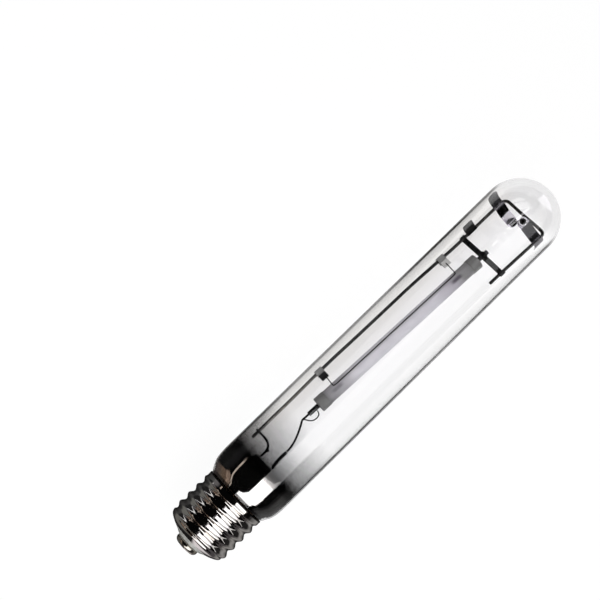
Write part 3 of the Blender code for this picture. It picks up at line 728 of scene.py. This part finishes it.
def build_shell():
    """The screw shell: one thin corrugated sheet with a turned-in lip and a plain rim."""
    columns = 160
    rows = 110
    bm = bmesh.new()

    def plain(outline):
        return [ring_at(bm, x, [radius] * columns) for x, radius in outline]

    def threaded(places, inset):
        turns = [column / columns for column in range(columns)]
        return [ring_at(bm, x, [thread_radius(x, turn) - inset for turn in turns]) for x in places]

    lip = ((SHELL_START, 13.45), (SHELL_START + 0.08, 13.65), (7.3, 15.9), (7.8, 16.8), (8.4, 17.6),
           (8.9, 18.1))
    rim = ((37.2, RIM_RADIUS), (37.9, RIM_RADIUS), (38.4, RIM_RADIUS + 0.05),
           (RIM_END - 0.06, RIM_RADIUS - 0.02), (RIM_END, RIM_RADIUS - 0.15),
           (RIM_END - 0.06, RIM_RADIUS - 0.28), (38.3, RIM_RADIUS - SHELL_SHEET),
           (37.2, RIM_RADIUS - SHELL_SHEET))
    places = [THREAD_START + (THREAD_STOP - THREAD_START) * row / rows for row in range(rows + 1)]
    inner_lip = ((9.2, 17.7), (8.7, 17.2), (8.2, 16.4), (7.6, 15.4), (SHELL_START + 0.35, 13.3))
    rings = plain(lip) + threaded(places, 0.0) + plain(rim) + threaded(places[::-1], SHELL_SHEET)
    bridge(bm, rings + plain(inner_lip), closed=True)
    finish(bm, "screw_shell_sheet", "nickel_brass", "screw_shell", sharp=60)


def build_cap():
    build_shell()
    insulator = ((CONTACT_DEPTH + GAP, 2.4), (CONTACT_DEPTH + GAP, 8.0), (3.85, 8.45), (4.2, 9.15),
                 (4.7, 10.0), (5.2, 11.1), (5.5, 11.9), (5.8, 12.5), (6.1, 12.75), (6.7, 12.95),
                 (8.7, 15.4), (11.3, 16.2), (11.3, 2.4))
    turned("cap_insulator_glass", insulator, 96, "vitrite", "cap_insulator", sharp=30)
    contact = ((0.12, 2.3), (0.0, 2.5), (0.0, 5.0), (0.08, 5.45), (0.28, 5.9), (0.6, 6.35), (1.1, 6.78),
               (1.6, 7.08), (2.0, CONTACT_RADIUS - 0.02), (2.45, CONTACT_RADIUS),
               (2.9, CONTACT_RADIUS - 0.03), (3.2, CONTACT_RADIUS - 0.15),
               (CONTACT_DEPTH, CONTACT_RADIUS - 0.4), (CONTACT_DEPTH, 2.3))
    turned("centre_contact_plate", contact, 96, "contact_metal", "centre_contact", sharp=50)
    solder = ((0.0, 0.0), (0.0, 1.5), (0.1, 1.85), (0.35, 2.0), (2.4, 2.0), (2.9, 0.9), (2.9, 0.0))
    turned("contact_solder_bead", solder, 40, "solder", "contact_solder")
    cement = ((26.0, NECK_RADIUS + GAP), (26.0, 17.0), (26.4, 17.2), (34.0, 17.2), (34.4, 17.0),
              (34.4, NECK_RADIUS + GAP))
    turned("capping_cement_ring", cement, 96, "cement", "capping_cement")
    bead = ((0.0, 0.0), (0.0, 1.5), (0.35, 1.55), (0.75, 1.3), (1.1, 0.8), (1.3, 0.0))
    seat = Matrix.Translation(Vector((17.0, -17.0, 0.0)) * MM) @ Matrix.Rotation(radians(90), 4, "Z")
    turned("side_solder_bead", bead, 32, "solder", "side_solder", place=seat)


# ---- wires


def build_leads():
    """The two leads inside the cap, those that come out of the stem's press, and the expansion loop."""
    start = PRESS_END + GAP
    over_rod = (FRAME_WIRE + LEAD_WIRE) / 2 + GAP
    leads = (
        ("centre_lead", "centre_lead_wire", CAP_WIRE,
         ((3.3, 0, 0), (9, 0, 0), (13.4, 0, 0.5), (18, 0, 2.9), (26, 0, 3.4), (47, 0, 3.3))),
        ("side_lead", "side_lead_wire", CAP_WIRE,
         ((17.0, -15.2, 0), (16.6, -13, 0), (17.0, -8, 0), (22.0, -4.6, 0), (30, -3.4, 0), (47, -3.3, 0))),
        ("frame_lead", "frame_lead_stub", LEAD_WIRE,
         ((start, 6.1, -0.9), (64.8, 6.1, -0.9), (67.2, 6.0, -0.9), (69.1, 5.2, -0.9))),
        ("frame_connector_wire", "frame_connector", LEAD_WIRE,
         ((66.4, 6.1, 0.9), (68.6, 6.3, 0.9), (70.4, 7.4, 1.0), (71.6, 9.2, 1.2), (72.1, 12.0, 1.5),
          (72.1, 15.8, over_rod), (72.1, 18.4, over_rod))),
        ("arc_lead_wire", "arc_lead", ARC_LEAD_WIRE,
         ((start, -3.0, 0), (64.1, -2.95, 0), (66.5, -2.3, 0), (70.0, -2.05, 0), (75.2, -2.1, 0))),
        ("arc_support", "arc_support_rod", SUPPORT_WIRE,
         ((75.5, -2.1, 0), (79.5, -1.75, 0), (83.5, -0.6, 0), (87.5, 1.1, 0), (91.0, 2.9, 0),
          arc_at(-12.0), arc_at(-9.0), arc_at(-1.8))),
    )
    for name, node, diameter, points in leads:
        wire(name, smooth_path(points), diameter, "lead_wire", node)
    loop = smooth_path(
        ((94.2, 4.2, 1.3), (95.0, 3.1, 1.3), (95.9, 1.7, 1.0), (97.2, 0.4, 0.7), (98.8, -0.3, 0.4),
         (100.6, -0.4, 0.2), (102.1, 0.1, 0), (102.9, 1.2, 0), (103.15, 2.4, 0))
    )
    made = wire("expansion_loop_wire", loop, LOOP_WIRE, "thin_wire", "expansion_loop")
    made.parent = None
    made.matrix_world = Matrix.Identity(4)
    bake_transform(made)


def build_frame():
    """One bent wire: up the bulb beside the arc tube, across the dome and part of the way back."""
    route = (
        (67.2, 16.75, 0), (80.0, 16.85, 0), (98.0, 16.8, 0), (110.0, 16.95, 0), LOWER_CLIP,
        (130.0, 16.93, 0), (146.0, 16.5, 0), (164.0, 16.15, 0), (188.0, 15.75, 0), (202.0, 15.15, 0),
        UPPER_CLIP, (224.0, 14.1, 0), (240.0, 13.95, 0), (252.0, 13.85, 0), (259.5, 13.7, 0),
        (262.5, 13.2, 0), (264.1, 11.7, 0), (264.5, 9.0, 0), (264.8, 0.0, 0), (265.2, -6.0, 0),
        (265.5, -12.4, 0), (265.1, -14.9, 0), (263.2, -15.9, 0), (258.0, -15.7, 0), (240.0, -15.0, 0),
        (231.8, -14.7, 0), (222.5, -14.5, 0),
    )
    wire("frame_rod_wire", smooth_path(route, 5), FRAME_WIRE, "frame_wire", "frame_rod")


def build_crossbar():
    wrap = FRAME_WIRE / 2 + GAP + SHEET / 2
    low = -(NIOBIUM_RADIUS + GAP + SHEET / 2)
    path = arc((230.5, 14.0, 0), wrap, 110, -60, 12)
    path += [(230.9, 12.8, -1.7), (231.2, 8.0, low), (231.6, -0.6, low), (231.9, -8.0, low),
             (232.0, -13.2, low)]
    path += arc((231.8, -14.7, 0), wrap, -110, -290, 12)
    strip("crossbar_strip", path, 3.2, "strip_steel", "crossbar", (0.5, 0.5), steps=3)
    centre = arc_at(ARC_LENGTH + 4.6)
    foot = low + SHEET + GAP
    path = [(centre.x, centre.y - 3.3, foot), (centre.x, centre.y - 2.2, foot)]
    path += arc(centre, NIOBIUM_RADIUS + GAP + SHEET / 2, 180, 0, 16)
    path += [(centre.x, centre.y + 2.2, foot), (centre.x, centre.y + 3.3, foot)]
    strip("crossbar_clamp_strip", path, 2.6, "strip_steel", "crossbar_clamp", (0.5, 0.5), steps=3)


def build_dome_strips():
    over_rod = FRAME_WIRE / 2 + GAP + SHEET / 2
    spring = ((18.0, 6.6), (18.0, 5.2), (17.3, 3.7), (16.0, 2.4), (14.9, over_rod + 0.1), (13.9, over_rod),
              (12.7, over_rod))
    left = ((19.7, 8.0), (19.4, 6.6), (18.5, 4.4), (17.0, 2.6), (15.4, over_rod + 0.1), (13.8, over_rod),
            (12.4, 1.3), (10.0, -0.5), (7.7, -2.1), (5.8, -2.7), (3.8, -3.25), (1.6, -3.85), (-0.2, -4.35),
            (-1.2, -4.65))
    right = ((0.1, 6.3), (-0.9, 6.3), (-2.7, 6.3), (-4.7, 6.1), (-7.5, 4.7), (-10.6, 3.1), (-13.4, 1.7),
             (-15.4, over_rod + 0.1), (-16.7, 1.35), (-17.6, 0.1), (-18.3, -2.2), (-18.7, -4.8),
             (-18.5, -7.0))
    sheets = (
        ("dome_spring_strip", "dome_spring", 236.8, spring, 7.2, (2.6, 0.4), "dark_spring"),
        ("left_dome_strip", "dome_strip_left", 258.5, left, 6.8, (2.6, 3.3), "spring_steel"),
        ("right_dome_strip", "dome_strip_right", 259.4, right, 6.8, (3.3, 2.6), "right_spring"),
    )
    for name, node, x, path, width, tips, look in sheets:
        strip(name, [(x, y, z) for y, z in path], width, look, node, tips)
    rings = (("left", LEFT_RING, 16.0, 2.38, 0.3), ("right", RIGHT_RING, 0.0, 1.78, 1.1))
    for side, place, tilt, edge, hole in rings:
        inner = edge + 0.06
        outer = max(2.4, inner + 0.06)
        lip = ((0.1, inner), (0.1, outer), (0.6, outer), (0.85, 2.58), (0.93, 2.6), (0.97, 2.58),
               (0.97, inner + 0.03), (0.93, inner))
        fill = ((0.0, hole), (0.0, edge), (0.4, edge), (0.85, edge), (0.92, edge - 0.15),
                (0.92, hole + 0.15), (0.85, hole))
        turn = Matrix.Rotation(radians(tilt), 4, "X") @ Matrix.Rotation(radians(-90), 4, "Y")
        seat = Matrix.Translation(Vector(place) * MM) @ turn
        node = f"getter_ring_{side}"
        turned(f"{side}_getter_channel", lip, SMALL_ROUND, "rim", node, place=seat)
        turned(f"{side}_getter_fill", fill, SMALL_ROUND, f"{side}_getter", node, place=seat)


# ---- arc tube and starting aid


def soft_tube(start, end, radius, bore, edge):
    """The outline of a tube whose four corners are rounded by edge."""
    corners = ((start, bore, 1, 1), (start, radius, 1, -1), (end, radius, -1, -1), (end, bore, -1, 1))
    points = []
    for index, (x, r, inward, up) in enumerate(corners):
        pair = [(x, r + up * edge), (x + inward * edge * 0.3, r + up * edge * 0.3), (x + inward * edge, r)]
        points += pair if index in (1, 3) else pair[::-1]
    return points


def electrode_outline(shank_end, coil_start, coil_end, tip):
    """A tungsten shank with a coil of six turns wound on it."""
    shank = 0.45
    turns = 6
    coil = 1.25
    pitch = (coil_end - coil_start) / turns
    points = [(shank_end, 0.0), (shank_end, shank), (coil_start, shank)]
    for turn in range(turns):
        centre = coil_start + (turn + 0.5) * pitch
        for step in range(7):
            angle = pi * step / 6
            points.append((centre - pitch * 0.48 * cos(angle), coil - 0.45 + 0.45 * sin(angle)))
    points += [(coil_end, shank), (tip - 0.15, shank), (tip, shank * 0.6), (tip, 0.0)]
    return points


def build_arc_tube():
    axis = frame_along(ARC_START, ARC_END)
    plug = ARC_BORE - 0.12
    hole = NIOBIUM_RADIUS + 0.12
    shield = 4.5
    length = ARC_LENGTH
    spans = (
        ("alumina_tube", "arc_tube", 0.0, length, ARC_RADIUS, ARC_BORE, 0.12, "alumina", 96),
        ("lower_alumina_plug", "lower_plug", 0.0, 3.0, plug, hole, 0.1, "alumina", 64),
        ("upper_alumina_plug", "upper_plug", length - 3.0, length, plug, hole, 0.1, "alumina", 64),
        ("lower_niobium", "lower_niobium_tube", -7.3, 3.5, NIOBIUM_RADIUS, NIOBIUM_BORE, 0.12, "niobium",
         40),
        ("upper_niobium", "upper_niobium_tube", length - 3.5, length + 7.8, NIOBIUM_RADIUS, NIOBIUM_BORE,
         0.12, "niobium", 40),
        ("lower_shield", "lower_heat_shield", 0.2, 6.3, shield, shield - 0.15, 0.05, "heat_shield", 96),
        ("upper_shield", "upper_heat_shield", length - 6.3, length - 0.2, shield, shield - 0.15, 0.05,
         "heat_shield", 96),
    )
    for name, node, start, end, radius, bore, edge, look, segments in spans:
        outline = soft_tube(start, end, radius, bore, edge)
        turned(name, outline, segments, look, node, "arc_tube", axis)
    low_shape = electrode_outline(0.6, 5.6, 11.0, 12.8)
    high_shape = [(length - x, radius) for x, radius in low_shape]
    for end, shape in (("lower", low_shape), ("upper", high_shape)):
        turned(f"{end}_electrode_coil", shape, 32, "tungsten", f"{end}_electrode", "arc_tube", axis)
    drop = [(1.1 * cos(pi - pi * k / 12), 0.8 * sin(pi * k / 12)) for k in range(13)]
    drop[0] = (-1.1, 0.0)
    drop[-1] = (1.1, 0.0)
    seat = axis @ Matrix.Translation(Vector((4.8, 0.0, -(ARC_BORE - 0.92))) * MM)
    turned("sodium_amalgam_drop", drop, 32, "amalgam", "sodium_amalgam", "arc_tube", seat)


def build_starting_aid():
    """The wire along the arc tube, its bimetal strips and the clips that turn on the frame rod."""
    pivot = frame_along(LOWER_CLIP, UPPER_CLIP)
    upper_x = (UPPER_CLIP - LOWER_CLIP).length
    wrap = 1.7
    tip = -5.4
    bimetal = 0.3
    strip_z = wrap + (SHEET + bimetal) / 2 + GAP
    clip = [(0, tip, wrap), (0, -2.6, wrap)] + arc((0, 0, 0), wrap, 90, -110, 16) + [(0, -2.8, -1.5)]
    for side, x, look in (("lower", 0.0, "bimetal"), ("upper", upper_x, "pale_bimetal")):
        seat = pivot @ Matrix.Translation(Vector((x, 0.0, 0.0)) * MM)
        strip(f"{side}_clip", clip, 4.8, "clip", f"{side}_aid_clip", (0.4, 0.4), "starting_aid", seat,
              steps=2)
        path = ((0, -1.8, strip_z), (0, -3.6, strip_z), (0, tip - 0.1, strip_z))
        strip(f"{side}_bimetal_strip", path, 4.6, look, f"{side}_bimetal", (0.3, 0.3), "starting_aid", seat,
              bimetal)
    lower_y = -11.45
    upper_y = -11.8
    height = 4.2
    wire_z = strip_z + (bimetal + AID_WIRE) / 2 + GAP
    route = smooth_path(
        ((0.6, -3.6, wire_z), (0.6, tip, wire_z), (0.3, -8.6, 3.6), (0.2, -10.1, height),
         (1.2, lower_y, height), (10.0, lower_y - 0.1, height))
    )
    route += smooth_path(
        ((upper_x - 10.0, upper_y + 0.1, height), (upper_x - 1.8, upper_y, height),
         (upper_x - 0.6, upper_y + 0.9, height), (upper_x - 0.4, -8.6, 3.6), (upper_x - 0.2, tip, wire_z),
         (upper_x - 0.2, -3.6, wire_z))
    )
    wire("aid_wire", route, AID_WIRE, "thin_wire", "starting_aid_wire", "starting_aid", pivot)


# ---- stage


def floor_material():
    """A pale, evenly lit table for the camera.

    Rays that the glass bends see it bright only under the lamp, so that the bulb's edges are drawn dark.
    Mirrored rays see a dim table with a paler band on the -Y side.
    """
    made = bpy.data.materials.new("pale_table")
    n = Nodes(made)
    path = n.put("LightPath")
    bent = path.outputs["Is Transmission Ray"]
    mirrored = path.outputs["Is Glossy Ray"]
    x = n.along_axis(0)
    y = n.along_axis(1)
    reach = 700.0
    length = 300.0
    lilac = (0.8, 0.76, 0.78)
    share = n.share(y, -reach / 2, reach)
    x_share = n.math("DIVIDE", x, length)

    def across(*stops):
        return n.ramp(share, [((place + reach / 2) / reach, colour) for place, colour in stops])

    def lengthwise(*stops):
        return n.ramp(x_share, [(place / length, colour) for place, colour in stops])

    left_side = lengthwise((60.0, 0.01), (81.0, 0.06), (108.0, 0.3), (180.0, 0.32), (201.0, 0.1),
                           (216.0, 0.01), (243.0, 0.02), (258.0, 0.25))
    right_side = lengthwise((120.0, 0.01), (141.0, 0.05), (180.0, 0.2), (201.0, 0.12), (222.0, 0.08),
                            (252.0, 0.15))
    under = across((-34.0, 0.0), (-30.5, 1.0), (-3.0, (0.98, 0.975, 0.985)), (6.0, (0.86, 0.85, 0.86)),
                   (17.0, (0.8, 0.785, 0.775)), (30.5, (0.74, 0.72, 0.7)), (34.0, 0.0))
    far = across((-250.0, 0.01), (-120.0, 0.045), (-50.0, 0.045), (-36.0, 0.0), (-32.0, 0.0))
    brown = across((34.0, 0.0), (42.0, (0.08, 0.064, 0.058)), (160.0, (0.13, 0.088, 0.06)))
    behind = across((-34.0, (0.07, 0.066, 0.07)), (-27.0, lilac), (-4.0, lilac), (-0.5, 0.01), (18.0, 0.01),
                    (26.0, (0.15, 0.15, 0.14)))
    gloss = across((-330.0, 0.01), (-240.0, 0.08), (-90.0, 0.16), (-45.0, 0.32), (-34.0, 0.18),
                   (-28.0, 0.02), (28.0, 0.01), (60.0, 0.05), (340.0, 0.09))
    past_dome = n.between(x, 268.0, 284.0)

    through = n.mix(n.between(y, 30.5, 34.0), under, left_side)
    through = n.mix(n.between(y, -30.5, -34.0), through, right_side)
    aslant = n.between(n.plus(x, n.times(y, BROWN_SLANT)), 62.0, 52.0)
    far = n.mix(aslant, far, n.mix(1.0, far, brown, "ADD"))
    near_cap = n.mix(1.0, under, far, "ADD")
    through = n.mix(n.between(x, 75.0, 60.0), through, near_cap)
    through = n.mix(past_dome, through, (0.75, 0.745, 0.75))
    unmirrored = n.math("LESS_THAN", path.outputs["Glossy Depth"], 0.5)
    well_clear = n.between(n.math("ABSOLUTE", y), 40.0, 48.0)
    through = n.mix(n.times(well_clear, unmirrored), through, (0.9, 0.9, 0.91))

    gloss = n.mix(n.between(x, 44.0, 60.0), gloss, 0.015)
    gloss = n.mix(n.between(x, -8.0, -30.0), gloss, behind)
    gloss = n.mix(past_dome, gloss, 0.9)

    level = n.mix(bent, 0.93, through)
    level = n.mix(n.times(mirrored, n.minus(1.0, bent)), level, gloss)
    glow = n.put("Emission", Color=level)
    matt = n.put("BsdfDiffuse", Color=n.mix(1.0, level, 0.12, "MULTIPLY"))
    both = n.put("AddShader", in0=glow.outputs[0], in1=matt.outputs[0])
    n.put("OutputMaterial", Surface=both.outputs[0])
    return made


def build_floor():
    bm = bmesh.new()
    reach = 4.0
    level = -(BULB_RADIUS + 0.1) * MM
    corners = [bm.verts.new((x * reach, y * reach, level)) for x, y in ((-1, -1), (1, -1), (1, 1), (-1, 1))]
    bm.faces.new(corners)
    mesh = bpy.data.meshes.new("table")
    bm.to_mesh(mesh)
    bm.free()
    mesh.materials.append(floor_material())
    add_object("table", mesh)


def soft_box(name, x_range, y_range, radiance, colour=(1.0, 1.0, 1.0), mirrored=True, direct=True):
    """A rectangular soft box that faces down, of the given radiance, at the height of the ceiling.

    One that isn't mirrored only lights matt surfaces. One that isn't direct shows only in metal behind glass.
    """
    light = bpy.data.lights.new(name, "AREA")
    light.shape = "RECTANGLE"
    light.size = (x_range[1] - x_range[0]) * MM
    light.size_y = (y_range[1] - y_range[0]) * MM
    light.energy = radiance * pi * light.size * light.size_y
    light.color = colour
    made = add_object(name, light)
    made.location = (sum(x_range) / 2 * MM, sum(y_range) / 2 * MM, CEILING * MM)
    made.visible_glossy = mirrored and direct
    made.visible_transmission = mirrored
    made.visible_camera = False


def build_lights():
    """One long white box with slanted ends on the -Y side, and dim and brown ones round it."""
    grey = 0.75
    brown = (1.0, 0.72, 0.55)
    soft_box("key_box", (-1700.0, 38.0), (-1190.0, -205.0), WHITE)
    corner = ((-1700.0, -1000.0, 110.0), (-1000.0, -860.0, 60.0), (-860.0, -740.0, 0.0),
              (-740.0, -640.0, -60.0), (-640.0, -540.0, -110.0), (-540.0, -440.0, -150.0),
              (-440.0, -340.0, -180.0))
    for index, (start, stop, side) in enumerate(corner):
        soft_box(f"key_corner_{index}", (start, stop), (-205.0, side), WHITE)
    lower = ((-700.0, -250.0, -1380.0), (-1200.0, -700.0, -1650.0), (-1700.0, -1200.0, -2000.0),
             (-2600.0, -1700.0, -2400.0))
    for index, (start, stop, side) in enumerate(lower):
        soft_box(f"key_lower_{index}", (start, stop), (side, -1190.0), WHITE, direct=False)
    soft_box("key_middle", (38.0, 1500.0), (-1190.0, -205.0), grey)
    soft_box("small_box", (425.0, 485.0), (-15.0, 35.0), 1.4 * WHITE)
    soft_box("far_box", (-1500.0, 27.0), (735.0, 860.0), grey, (1.0, 0.86, 0.74))
    soft_box("brown_box", (-4000.0, -600.0), (1000.0, 2000.0), 0.25, brown)
    soft_box("brown_far_box", (-4000.0, -1080.0), (2000.0, 3200.0), 0.25, brown)
    soft_box("brown_end", (-5000.0, -1750.0), (-1190.0, 600.0), 0.2, brown)
    soft_box("fill_box", (-300.0, 600.0), (0.0, 500.0), 0.6, mirrored=False)
    soft_box("side_fill_box", (-600.0, 900.0), (500.0, 1500.0), 0.9, mirrored=False)


def build_room():
    """The room round the table: pale for the camera, dark for what is mirrored, and bright past the dome."""
    dim = 0.15
    world = bpy.data.worlds.new("studio")
    bpy.context.scene.world = world
    n = Nodes(world)
    where = n.put("TexCoord").outputs["Generated"]
    x, y, z = n.put("SeparateXYZ", Vector=where).outputs
    path = n.put("LightPath")
    bent = path.outputs["Is Transmission Ray"]
    straight = n.times(bent, n.math("LESS_THAN", path.outputs["Glossy Depth"], 0.5))
    left = n.times(n.times(n.between(y, 0.86, 0.97), dim), n.minus(1.0, bent))
    ahead = n.times(n.between(x, 0.8, 0.88), n.between(y, 0.06, -0.02))
    ahead = n.times(ahead, WHITE)
    past_dome = n.times(n.times(n.between(x, 0.3, 0.6), 0.8), bent)
    past_dome = n.math("MAXIMUM", past_dome, n.times(straight, 0.9))
    level = n.math("MAXIMUM", n.plus(n.plus(left, ahead), 0.002), past_dome)

    # The brown light over the neck, for metal behind the glass
    aslant = n.plus(x, n.times(y, BROWN_SLANT))
    low = n.times(n.between(aslant, 0.02, -0.04), n.between(z, 0.22, 0.18))
    low = n.times(low, n.between(y, 0.3, 0.4))
    low = n.times(low, n.minus(bent, straight))
    level = n.math("MAXIMUM", level, n.times(low, dim))
    tint = n.mix(low, (0.97, 0.95, 1.0), (1.0, 0.7, 0.52))
    room = n.put("Background", Color=tint, Strength=level)
    pale = n.put("Background", Color=(0.93, 0.93, 0.94))
    both = n.put("MixShader", in0=path.outputs["Is Camera Ray"], in1=room.outputs[0], in2=pale.outputs[0])
    n.put("OutputWorld", Surface=both.outputs[0])


def build_camera():
    """Looks steeply down on the lamp, turned so that it lies from lower left to upper right."""
    azimuth = radians(-44.195)
    elevation = radians(80.698)
    target = Vector((139.5, 53.4, 0.0)) * MM
    distance = 580.0 * MM
    right = Vector((cos(azimuth), sin(azimuth), 0.0))
    ahead = Vector((-sin(azimuth) * cos(elevation), cos(azimuth) * cos(elevation), -sin(elevation)))
    up = right.cross(ahead)
    lens = bpy.data.cameras.new("camera")
    lens.sensor_width = 36.0
    lens.lens = 61.869
    made = add_object("camera", lens)
    turn = Matrix((right, up, -ahead)).transposed().to_4x4()
    turn.translation = target - ahead * distance
    made.matrix_world = turn
    bpy.context.scene.camera = made


def main():
    steps = (build_camera, build_bulb, build_film, build_stem, build_cap, build_leads, build_frame,
             build_crossbar, build_dome_strips, build_arc_tube, build_starting_aid, build_floor,
             build_lights, build_room)
    for step in steps:
        step()
    bpy.context.scene.view_settings.view_transform = "Standard"


main()
bpy.context.view_layer.update()
